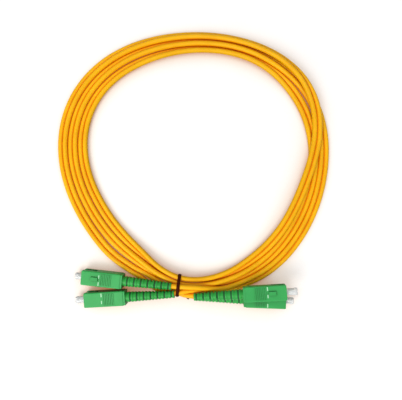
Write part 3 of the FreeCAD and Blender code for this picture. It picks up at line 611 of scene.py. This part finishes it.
def add_cord(name, points, bevel):
    """Curve of one open smooth spline with the route's points as its control points."""
    curve = bpy.data.curves.new(name, "CURVE")
    curve.dimensions = "3D"
    curve.resolution_u = CURVE_STEPS
    curve.bevel_depth = bevel * MM
    curve.bevel_resolution = BEVEL_STEPS
    curve.use_fill_caps = True
    spline = curve.splines.new("NURBS")
    spline.points.add(len(points) - 1)
    spline.points.foreach_set("co", np.c_[points * MM, np.ones(len(points))].ravel())
    spline.order_u = 3
    spline.use_endpoint_u = True
    item = bpy.data.objects.new(name, curve)
    scene.collection.objects.link(item)
    item.data.materials.append(JACKET_YELLOW)
    return item


def read_line(name, points):
    """Points along the smooth line of a route, in millimetres."""
    plain = add_cord(name, points, 0.0)
    mesh = bpy.data.meshes.new_from_object(plain)
    line = np.empty(len(mesh.vertices) * 3)
    mesh.vertices.foreach_get("co", line)
    bpy.data.meshes.remove(mesh)
    bpy.data.objects.remove(plain)
    return line.reshape(-1, 3) / MM


def length_of(line):
    """Length along a line of points."""
    return float(np.linalg.norm(np.diff(line, axis=0), axis=1).sum())


jackets = {name: add_cord(name, points, JACKET / 2) for name, points in ROUTES.items()}
lines = {name: read_line(name + "_line", points) for name, points in ROUTES.items()}
for name, line in lines.items():
    print(name, "length %.1f mm" % length_of(line))

# %% [markdown]
# ## Web between the jackets
# The two jackets are moulded in one piece, and a thin strip, thinner at its middle, joins them round
# the coil. Modelling both with their strip as one extruded shape would hide that each is a cord of its
# own; so the strip is a mesh between the two lines and stops where the jackets part for their plugs.

# %% Web
WEB_SECTION = [(-0.45, -0.42), (0.0, -0.30), (0.45, -0.42), (0.45, 0.42), (0.0, 0.30), (-0.45, 0.42)]
FIXED_POINTS = 3  # of a free stretch: two on its plug's axis and one before the coil


def leg_steps(end):
    """Points of the smooth line on a free stretch: its control points times the steps for each."""
    return CURVE_STEPS * (FIXED_POINTS + len(LEGS[end]["by"]))


def add_web(name, outer, inner, first, last):
    """Strip of even thickness from jacket to jacket."""
    outer, inner = outer[first:last], inner[first:last]
    across = inner - outer
    across /= np.linalg.norm(across, axis=1)[:, None]
    up = np.cross(directions(outer), across)
    up /= np.linalg.norm(up, axis=1)[:, None]
    middle = (outer + inner) / 2
    ring = [middle + across * reach + up * rise for reach, rise in WEB_SECTION]
    points = np.stack(ring, axis=1).reshape(-1, 3)
    faces = grid_faces(len(outer), len(WEB_SECTION), wrap_columns=True)
    faces += [face[::-1] for face in end_faces(len(outer), len(WEB_SECTION))]
    return add_mesh(name, points, faces, WEB_SHADE_ORANGE)


start_end, last_end = SIDES["jacket_outer"][1:]
web = add_web(
    "jacket_web", lines["jacket_outer"], lines["jacket_inner"], leg_steps(start_end), -leg_steps(last_end)
)
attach(web, "lead")
print("web:", len(web.data.polygons), "faces")

# %% [markdown]
# ## What the jackets are
# A curve alone doesn't say what it stands for. Its name or a custom property could; these calls do it in
# one way for all pieces, and add no shape. The jackets and their web belong to the body called lead.
# Each jacket takes the place of its coil and its two short legs in the imported model, which are hidden.

for name, (side, start_end, last_end) in SIDES.items():
    jacket = jackets[name]
    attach(jacket, "lead")
    coil_node = "jacket_coil_1" if side == 1 else "jacket_coil_2"
    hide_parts(coil_node, "jacket_leg_" + start_end, "jacket_leg_" + last_end)

# %% [markdown]
# ## Twist tie
# The real one is a flat plastic band with a wire in it, laid round the lead and twisted shut. A torus
# or a bent box would stand off the lead; here the band is the outline of the jackets that pass through
# it, read from their smooth lines, so it hugs them wherever they lie. Its twisted ends run under the
# lowest jacket and only their tip looks out, as in the photograph.

# %% Twist tie
TIE_OUT = np.array([math.sin(math.radians(TIE_ANGLE)), -math.cos(math.radians(TIE_ANGLE))])
TIE_WAY = np.array([math.cos(math.radians(TIE_ANGLE)), math.sin(math.radians(TIE_ANGLE))])
BAND_HALF = 0.95
BAND_STAND = 0.12
BAND_STEPS = 144
BAND_SECTION = [
    (-0.95, 0.00), (-0.97, 0.12), (-0.92, 0.24), (-0.42, 0.26), (-0.26, 0.44), (0.0, 0.52),
    (0.26, 0.44), (0.42, 0.26), (0.92, 0.24), (0.97, 0.12), (0.95, 0.00),
]
TAIL_ROUTE = [
    (-4.5, -4.75, 0.5), (-2.6, -4.85, 0.43), (-0.4, -5.0, 0.43), (0.9, -6.2, 0.44), (2.6, -7.5, 0.46),
]
TAIL_STRAND = 0.21
TAIL_PITCH = 2.4
TAIL_STEPS = 90
WIRE_COLUMNS = 12


def crossings(line, offset):
    """Where a line crosses the tie's plane, moved by offset along the lead, as (outward, height)."""
    flat = line[:, :2] - np.array(RING_AT)
    along = flat @ TIE_WAY - offset
    outward = flat @ TIE_OUT
    turns = np.nonzero((along[:-1] * along[1:] <= 0) & (outward[:-1] > 0))[0]
    share = along[turns] / (along[turns] - along[turns + 1])
    return np.c_[
        outward[turns] + share * (outward[turns + 1] - outward[turns]),
        line[turns, 2] + share * (line[turns + 1, 2] - line[turns, 2]),
    ]


def band_outline(spots, radius, count):
    """Points round some spots: for each direction, the spot that reaches furthest, plus the radius."""
    normals = np.c_[np.cos(circle(count)), np.sin(circle(count))]
    furthest = spots[np.argmax(normals @ spots.T, axis=1)]
    return furthest + normals * radius, normals


def add_band():
    """Closed band with a ridge over its wire."""
    offsets = (-BAND_HALF, 0.0, BAND_HALF)
    spots = np.vstack([crossings(line, offset) for line in lines.values() for offset in offsets])
    outline, normals = band_outline(spots, JACKET / 2 + BAND_STAND, BAND_STEPS)
    rings = []
    for along, rise in BAND_SECTION:
        place = outline + normals * rise
        ground = np.array(RING_AT) + np.outer(place[:, 0], TIE_OUT) + TIE_WAY * along
        rings.append(np.c_[ground, np.maximum(place[:, 1], PAPER_AIR)])
    points = np.stack(rings, axis=1).reshape(-1, 3)
    faces = grid_faces(len(outline), len(BAND_SECTION), wrap_rows=True, wrap_columns=True)
    return add_mesh("tie_band", points, faces, TIE_DARK)


def add_tail():
    """Two strands wound round each other along a short bent line, with closed ends."""
    ends = np.array(TAIL_ROUTE)
    reach = np.r_[0, np.cumsum(np.linalg.norm(np.diff(ends, axis=0), axis=1))]
    steps = np.linspace(0, reach[-1], TAIL_STEPS)
    middle = np.stack([np.interp(steps, reach, ends[:, k]) for k in range(3)], axis=1)
    ahead = directions(middle)
    side = np.cross(ahead, [0, 0, 1])
    side /= np.linalg.norm(side, axis=1)[:, None]
    up = np.cross(side, ahead)
    points = []
    faces = []
    for strand in (0, 1):
        turn = steps[:, None] / TAIL_PITCH * 2 * math.pi + strand * math.pi
        centre = middle + (side * np.cos(turn) + up * np.sin(turn)) * TAIL_STRAND
        first = strand * TAIL_STEPS * WIRE_COLUMNS
        points.append(tube(centre, side, -up, TAIL_STRAND, WIRE_COLUMNS))
        faces += grid_faces(TAIL_STEPS, WIRE_COLUMNS, wrap_columns=True, first=first)
        faces += end_faces(TAIL_STEPS, WIRE_COLUMNS, first)
    return add_mesh("tie_tail", np.vstack(points), faces, TIE_DARK)


tie_pieces = [add_band(), add_tail()]
for piece in tie_pieces:
    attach(piece, "lead")
    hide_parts("twist_tie")
    print(piece.name, "size in mm:", [round(float(size) / MM, 1) for size in piece.dimensions])

# %% [markdown]
# ## Boots
# The boot is a soft tapered tube that bends with the lead, because slots are cut into it by turns from
# the sides and from above and below. Cutting them with boolean modifiers would leave sharp, untidy
# edges; here the outside is one radius for each place along the boot and each angle round it, so that
# every rib's edge can be rounded. A slot is where that radius drops to two flats. The two grooves next
# to the grip are shallow and go all the way round.

# %% Boot sizes
BOOT_FRONT = 22.6
BOOT_COLUMNS = 96
ROOT_RADIUS = 3.1
TIP_RADIUS = 2.2
ROOT_LENGTH = 5.6
SLOT_COUNT = 12
ROOT_GROOVES = 2
SLOT_WIDTH = 0.9
SLOT_WALL = 0.02
SLOT_FIRST = 29.6
SLOT_LAST = 52.4
SLOT_CORE = 0.25
TOP_GROOVE = 0.34
SIDE_GROOVE = 0.24
# Faces sunk more than this under the cone get the painted shade of the slots
SHADE_DEPTH = 0.26
NEAR_NOUGHT = 1e-6
RIB_SHARES = (0.33, 0.66)

SLEEVE = 2.245
NECK = 1.925
SLEEVE_STEP = 33.4
SLEEVE_BACK = 38.8
CLEAR = 0.1
TIP_MOUTH = 0.15

# An edge's round, as (share of EDGE back from the corner, share of EDGE in from the cone)
EDGE = 0.16
FACE_ROUND = ((0.0, 1.0), (0.3, 0.3), (1.0, 0.0))
RIB_ROUND = ((0.0, 0.9), (0.3, 0.3), (1.0, 0.0))


def boot_bore(along):
    """Radius of the boot's bore: round the sleeve, its neck, then the jacket."""
    if along < SLEEVE_STEP + CLEAR:
        return SLEEVE + CLEAR
    return NECK + CLEAR if along < SLEEVE_BACK + CLEAR else JACKET / 2 + CLEAR


def boot_outside(along):
    """Radius of the boot's outside before the slots."""
    straight = BOOT_FRONT + ROOT_LENGTH
    if along < straight:
        return ROOT_RADIUS
    return ROOT_RADIUS + (TIP_RADIUS - ROOT_RADIUS) * (along - straight) / (BOOT_TIP - straight)


def slot_start(slot):
    """Place of a slot's front wall; the root's grooves count on backwards."""
    return SLOT_FIRST + (SLOT_LAST - SLOT_FIRST) * slot / (SLOT_COUNT - 1)


def boot_section(along, depth, slot, around):
    """Outline at one place: the cone, a ring groove at the root, or two flats where a slot is."""
    cone = np.full(len(around), boot_outside(along))
    if slot is None:
        return cone - depth
    groove = TOP_GROOVE if slot % 2 else SIDE_GROOVE
    if slot < 0:
        return cone - groove
    facing = np.abs(np.sin(around)) if slot % 2 else np.abs(np.cos(around))
    flats = (boot_bore(slot_start(slot)) + SLOT_CORE) / np.maximum(facing, NEAR_NOUGHT)
    return np.minimum(cone - groove, flats)


def edge_rows(corner, way, profile):
    """Rows of one rounded edge, from its corner along the cone (way +1 towards the tip, -1 to the root)."""
    return [(corner + way * EDGE * back, EDGE * depth, None) for back, depth in profile]


def boot_rows():
    """Rows along the outside, as (place, depth under the cone, slot or None), with all edges rounded."""
    rows = edge_rows(BOOT_FRONT, 1, FACE_ROUND)
    for slot in range(-ROOT_GROOVES, SLOT_COUNT):
        start = slot_start(slot)
        last = rows[-1][0]
        rows += [(last + (start - EDGE - last) * share, 0.0, None) for share in RIB_SHARES]
        rows += edge_rows(start, -1, RIB_ROUND)[::-1]
        rows += [(start + SLOT_WALL, 0.0, slot), (start + SLOT_WIDTH - SLOT_WALL, 0.0, slot)]
        rows += edge_rows(start + SLOT_WIDTH, 1, RIB_ROUND)
    return rows + edge_rows(BOOT_TIP, -1, FACE_ROUND)[::-1]


BORE_ROWS = [
    (BOOT_TIP - TIP_MOUTH, JACKET / 2 + CLEAR / 2),
    (SLEEVE_BACK + CLEAR, JACKET / 2 + CLEAR / 2),
    (SLEEVE_BACK + CLEAR, NECK + CLEAR),
    (SLEEVE_STEP + CLEAR, NECK + CLEAR),
    (SLEEVE_STEP + CLEAR, SLEEVE + CLEAR),
    (BOOT_FRONT, SLEEVE + CLEAR),
]


def add_boot(end):
    """Whole boot: its outside rows, then its bore, and painted shade: a darker material on the faces down in
    the slots.
    """
    around = circle(BOOT_COLUMNS)
    outside = boot_rows()
    along = np.array([row[0] for row in outside + BORE_ROWS])
    radii = [boot_section(*row, around) for row in outside]
    radii = np.array(radii + [np.full(BOOT_COLUMNS, radius) for _, radius in BORE_ROWS])
    faces = grid_faces(len(along), BOOT_COLUMNS, wrap_rows=True, wrap_columns=True)
    boot = add_mesh("boot_ribbed_" + end, on_plug(end, spun(along, radii, around)), faces, BOOT_GREEN)
    boot.data.materials.append(SLOT_SHADE_GREEN)
    cone = np.array([boot_outside(place) for place in along])
    depth = (cone[:, None] - radii).ravel()
    corners = np.array(faces)
    outer_face = corners.max(axis=1) < len(outside) * BOOT_COLUMNS
    # Painted shade: outside faces deep in the slots take the darker second material
    painted_shade_faces = (depth[corners].min(axis=1) > SHADE_DEPTH) & outer_face
    boot.data.polygons.foreach_set("material_index", painted_shade_faces.astype(int).tolist())
    sharpen(boot, angle=40.0)
    return boot


# %% Boots
for end in PLUGS:
    boot = add_boot(end)
    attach(boot, "lead")
    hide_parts("boot_" + end)
    print("boot", end, len(boot.data.polygons), "faces")

# %% [markdown]
# ## Dust caps
# A cap is a small soft moulding pushed over the ferrule: a wider rounded head, a step down to the waist
# and an open back. It could be a cylinder with bevels; spinning its half outline round the axis puts
# each round edge where it is on the real one, wall thickness too, which half-clear plastic needs.

# %% Caps
CAP_COLUMNS = 64
CAP_OUTLINE = [
    (0.0, 1.55), (0.06, 1.85), (0.22, 2.05), (0.45, 2.15), (1.45, 2.15), (1.72, 2.12), (2.1, 2.02),
    (2.6, 1.96), (3.2, 1.95), (9.3, 1.95), (9.45, 1.90), (9.5, 1.80), (9.5, 1.38), (9.4, 1.28),
    (1.3, 1.28), (1.2, 1.2),
]


def add_cap(end):
    """Cap spun round the ferrule's axis, closed in front and at the bottom of its bore."""
    along, radii = np.array(CAP_OUTLINE).T
    points = spun(along - PLUGS[end]["cap"], radii[:, None], circle(CAP_COLUMNS))
    faces = grid_faces(len(along), CAP_COLUMNS, wrap_columns=True) + end_faces(len(along), CAP_COLUMNS)
    cap = add_mesh("cap_soft_" + end, on_plug(end, points), faces, CAP_MILKY)
    sharpen(cap, angle=50.0)
    return cap


for end in PLUGS:
    cap = add_cap(end)
    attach(cap, "cap_" + end)
    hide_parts("dust_cap_" + end)
    print("cap", end, "reaches %.1f mm in front of its plug" % PLUGS[end]["cap"])

# %% [markdown]
# ## Marks on the grips
# Each wide face of a grip has two short white bars. A mask between two colours could paint them in the
# grip's own material; thin solids, a hair proud of the face, are simpler to place and keep straight
# edges from near by as well. They ride on the grip.

# %% Marks
GRIP_THICKNESS = 7.4
MARK_AT = 10.55
MARK_WIDTH = 0.65
MARK_SPANS = [(-3.8, -1.6), (0.6, 2.5)]
MARK_RISE = (-0.05, 0.03)
BAR_FACES = [[4, 5, 6, 7], [3, 2, 1, 0], [0, 1, 5, 4], [1, 2, 6, 5], [2, 3, 7, 6], [3, 0, 4, 7]]


def add_marks(end, face):
    """Thin bars on one wide face (+1 on the key's face, -1 on the other)."""
    low, high = np.array(MARK_SPANS).T
    points = np.empty((len(MARK_SPANS), len(MARK_RISE), 4, 3))
    points[..., 0] = MARK_AT + MARK_WIDTH * np.array([0, 1, 1, 0])
    points[..., 1] = np.stack([low, low, high, high], axis=1)[:, None]
    points[..., 2] = face * (GRIP_THICKNESS / 2 + np.array(MARK_RISE))[:, None]
    bar_start = np.arange(len(MARK_SPANS)) * len(MARK_RISE) * 4
    faces = (np.array(BAR_FACES) + bar_start[:, None, None]).reshape(-1, 4)
    if face < 0:
        faces = faces[:, ::-1]
    name = "marks_%s_%s" % (end, "key" if face > 0 else "plain")
    marks = add_mesh(name, on_plug(end, points), faces.tolist(), MARK_WHITE, smooth=False)
    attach(marks, "grip_" + end)


for end in PLUGS:
    for face in (1, -1):
        add_marks(end, face)
print("marks:", len(MARK_SPANS), "bars on both wide faces of", len(PLUGS), "grips")

# %% [markdown]
# ## Float springs
# A small wire coil behind each ferrule lets it give when two plugs meet. The imported spring is rigid, so
# the flange would cut into it as the ferrule goes back. Shape keys or a rig could press it together, or a
# squash along the plug's axis, because a coil only loses height. The coil is one tube along a helix whose
# last turns lie closer, as on a spring that is ground flat at its ends.

# %% Springs
SPRING_RADIUS = 1.65
SPRING_WIRE = 0.45
SPRING_TURNS = 7
SPRING_STEPS = 32  # for each turn
SPRING_END_PITCH = 0.6


def add_spring(end):
    """Tube on a helix (angle grows evenly, height more slowly in the end turns); also its length."""
    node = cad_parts["float_spring_" + end]
    spots = np.empty(len(node.data.vertices) * 3)
    node.data.vertices.foreach_get("co", spots)
    home = np.array(plug_frame(end))
    along = ((spots.reshape(-1, 3) / MM - home[:3, 3]) @ home[:3, :3])[:, 0]
    front = along.min()
    length = along.max() - front
    turn = np.linspace(0, SPRING_TURNS, SPRING_TURNS * SPRING_STEPS)
    low = SPRING_WIRE / 2
    knots = [low, low + SPRING_END_PITCH, length - low - SPRING_END_PITCH, length - low]
    height = np.interp(turn, [0, 1, SPRING_TURNS - 1, SPRING_TURNS], knots)
    angle = turn * 2 * math.pi
    level = np.zeros(len(turn))
    outwards = np.c_[level, np.cos(angle), np.sin(angle)]
    middle = outwards * SPRING_RADIUS + np.c_[front + height, level, level]
    across = np.cross(directions(middle), outwards)
    points = tube(middle, outwards, across, SPRING_WIRE / 2, WIRE_COLUMNS)
    faces = grid_faces(len(turn), WIRE_COLUMNS, wrap_columns=True) + end_faces(len(turn), WIRE_COLUMNS)
    spring = add_mesh("float_coil_" + end, on_plug(end, points), faces, STEEL)
    sharpen(spring, angle=50.0)
    return spring, front, length


for end in PLUGS:
    spring, front, length = add_spring(end)
    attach(spring, "lead")
    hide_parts("float_spring_" + end)
    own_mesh(spring)
    print("spring", end, "length %.2f mm" % length)

# %% [markdown]
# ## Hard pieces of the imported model
# Grips, frames, ferrules and what is behind them are moulded or turned, with exact shapes. Building them
# again here would only risk a second, different shape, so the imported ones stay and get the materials.

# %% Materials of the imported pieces
NODE_MATERIALS = {
    "outer_grip": GRIP_GREEN,
    "plug_frame": FRAME_GREEN,
    "ferrule": CERAMIC,
    "ferrule_flange": NICKEL,
    "back_post": PLATED,
    "strength_yarn": YARN,
    "crimp_sleeve": NICKEL,
    "fibre_buffer": BUFFER,
}
for kind, material in NODE_MATERIALS.items():
    for end in PLUGS:
        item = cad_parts["%s_%s" % (kind, end)]
        for slot in item.material_slots:
            slot.material = material
print("finished", len(NODE_MATERIALS), "kinds of hard piece on each plug")

# %% [markdown]
# ## Floor
# The photograph shows pure white paper with soft, warm shade that turns orange between the jackets. More
# light would burn the yellow out, so the paper glows a little for the camera, for mirrors and through
# clear plastic, and gives back little light otherwise. It still takes the lead's shadow. The warm shade
# is light that yellow jackets throw on the paper; the light alone shows it too faintly, so openness
# tints the paper twice, strongly close to the lead and faintly further out.

# %% Floor
FLOOR_HALF = 900.0
PAPER_GLOW = 0.42
PAPER_BOUNCE = 0.22
PAPER_GRAIN = 40.0
PAPER_WHITE = ((0.59, 0.585, 0.58), (0.61, 0.605, 0.60))
SHADE_SAMPLES = 8
NEAR_SHADE = (14.0, (0.75, 0.26, 0.03), 0.05, 0.62)
WIDE_SHADE = (30.0, (0.98, 0.86, 0.76), 0.72, 0.99)
WHITE = (1.0, 1.0, 1.0)


def paper_shade(nodes, links, reach, colour, start, end):
    """Colour of the paper's shade: the given one where pieces within reach hide much, white in the open."""
    return blend_colours(nodes, links, openness(nodes, reach * MM, SHADE_SAMPLES), colour, WHITE, start, end)


floor_material, nodes, links, shader, place = new_material("floor_white")
shader.inputs["Roughness"].default_value = 0.9
shader.inputs["Specular IOR Level"].default_value = 0.1
near_shade = paper_shade(nodes, links, *NEAR_SHADE)
wide_shade = paper_shade(nodes, links, *WIDE_SHADE)
shade = mix_colours(nodes, links, 1.0, near_shade, wide_shade, "MULTIPLY")
paper = blend_colours(nodes, links, noise(nodes, links, place, PAPER_GRAIN), *PAPER_WHITE)
tinted = mix_colours(nodes, links, 1.0, paper, shade, "MULTIPLY")
seen = seen_rays(nodes, links)
bounce = (PAPER_BOUNCE, PAPER_BOUNCE, PAPER_BOUNCE, 1)
links.new(mix_colours(nodes, links, seen, bounce, tinted), shader.inputs["Base Color"])
glow = nodes.new("ShaderNodeMath")
glow.operation = "MULTIPLY"
glow.inputs[1].default_value = PAPER_GLOW
links.new(seen, glow.inputs[0])
links.new(glow.outputs["Value"], shader.inputs["Emission Strength"])
links.new(shade, shader.inputs["Emission Color"])
corners = FLOOR_HALF * np.array([(-1, -1, 0), (1, -1, 0), (1, 1, 0), (-1, 1, 0)])
floor = add_mesh("floor", corners, [[0, 1, 2, 3]], floor_material)
print("floor %.1f m wide" % (2 * FLOOR_HALF * MM))

# %% [markdown]
# ## Light
# The photograph's light falls from the lower left, so the walls of the grips that face away from it are
# dark. A sun would draw hard shadows, and an even white sky none; one large soft lamp with a sky that is
# bright above and dark at the horizon gives soft shade under the lead. The camera and mirrors see that
# sky as plain white, so the background is white from every side.

# %% Light
SKY_HORIZON = 0.04
SKY_ZENITH = 1.05
LAMP_AT = (-320, -380, 600)
LAMP_TARGET = (10, 50, 0)
LAMP_WIDTH = 440
LAMP_POWER = 4.15  # watts

world = bpy.data.worlds.new("sky")
scene.world = world
world.use_nodes = True
nodes = world.node_tree.nodes
links = world.node_tree.links
background = nodes["Background"]
background.inputs["Color"].default_value = (*WHITE, 1)
direction = nodes.new("ShaderNodeTexCoord")
parts = nodes.new("ShaderNodeSeparateXYZ")
links.new(direction.outputs["Generated"], parts.inputs["Vector"])
height = nodes.new("ShaderNodeMapRange")
height.inputs["To Min"].default_value = SKY_HORIZON
height.inputs["To Max"].default_value = SKY_ZENITH
links.new(parts.outputs["Z"], height.inputs["Value"])
strength = nodes.new("ShaderNodeMix")
strength.inputs["B"].default_value = 1.0
links.new(seen_rays(nodes, links), strength.inputs["Factor"])
links.new(height.outputs["Result"], strength.inputs["A"])
links.new(strength.outputs["Result"], background.inputs["Strength"])


def add_lamp(name, place, target, width, power):
    """Square soft lamp that looks at a point."""
    data = bpy.data.lights.new(name, "AREA")
    data.shape = "SQUARE"
    data.size = width * MM
    data.energy = power
    lamp = bpy.data.objects.new(name, data)
    lamp.location = Vector(place) * MM
    lamp.rotation_euler = (Vector(target) - Vector(place)).to_track_quat("-Z", "Y").to_euler()
    scene.collection.objects.link(lamp)


add_lamp("key", LAMP_AT, LAMP_TARGET, LAMP_WIDTH, LAMP_POWER)
scene.view_settings.view_transform = "Standard"
print("lamp %d mm wide, %.2f W" % (LAMP_WIDTH, LAMP_POWER))
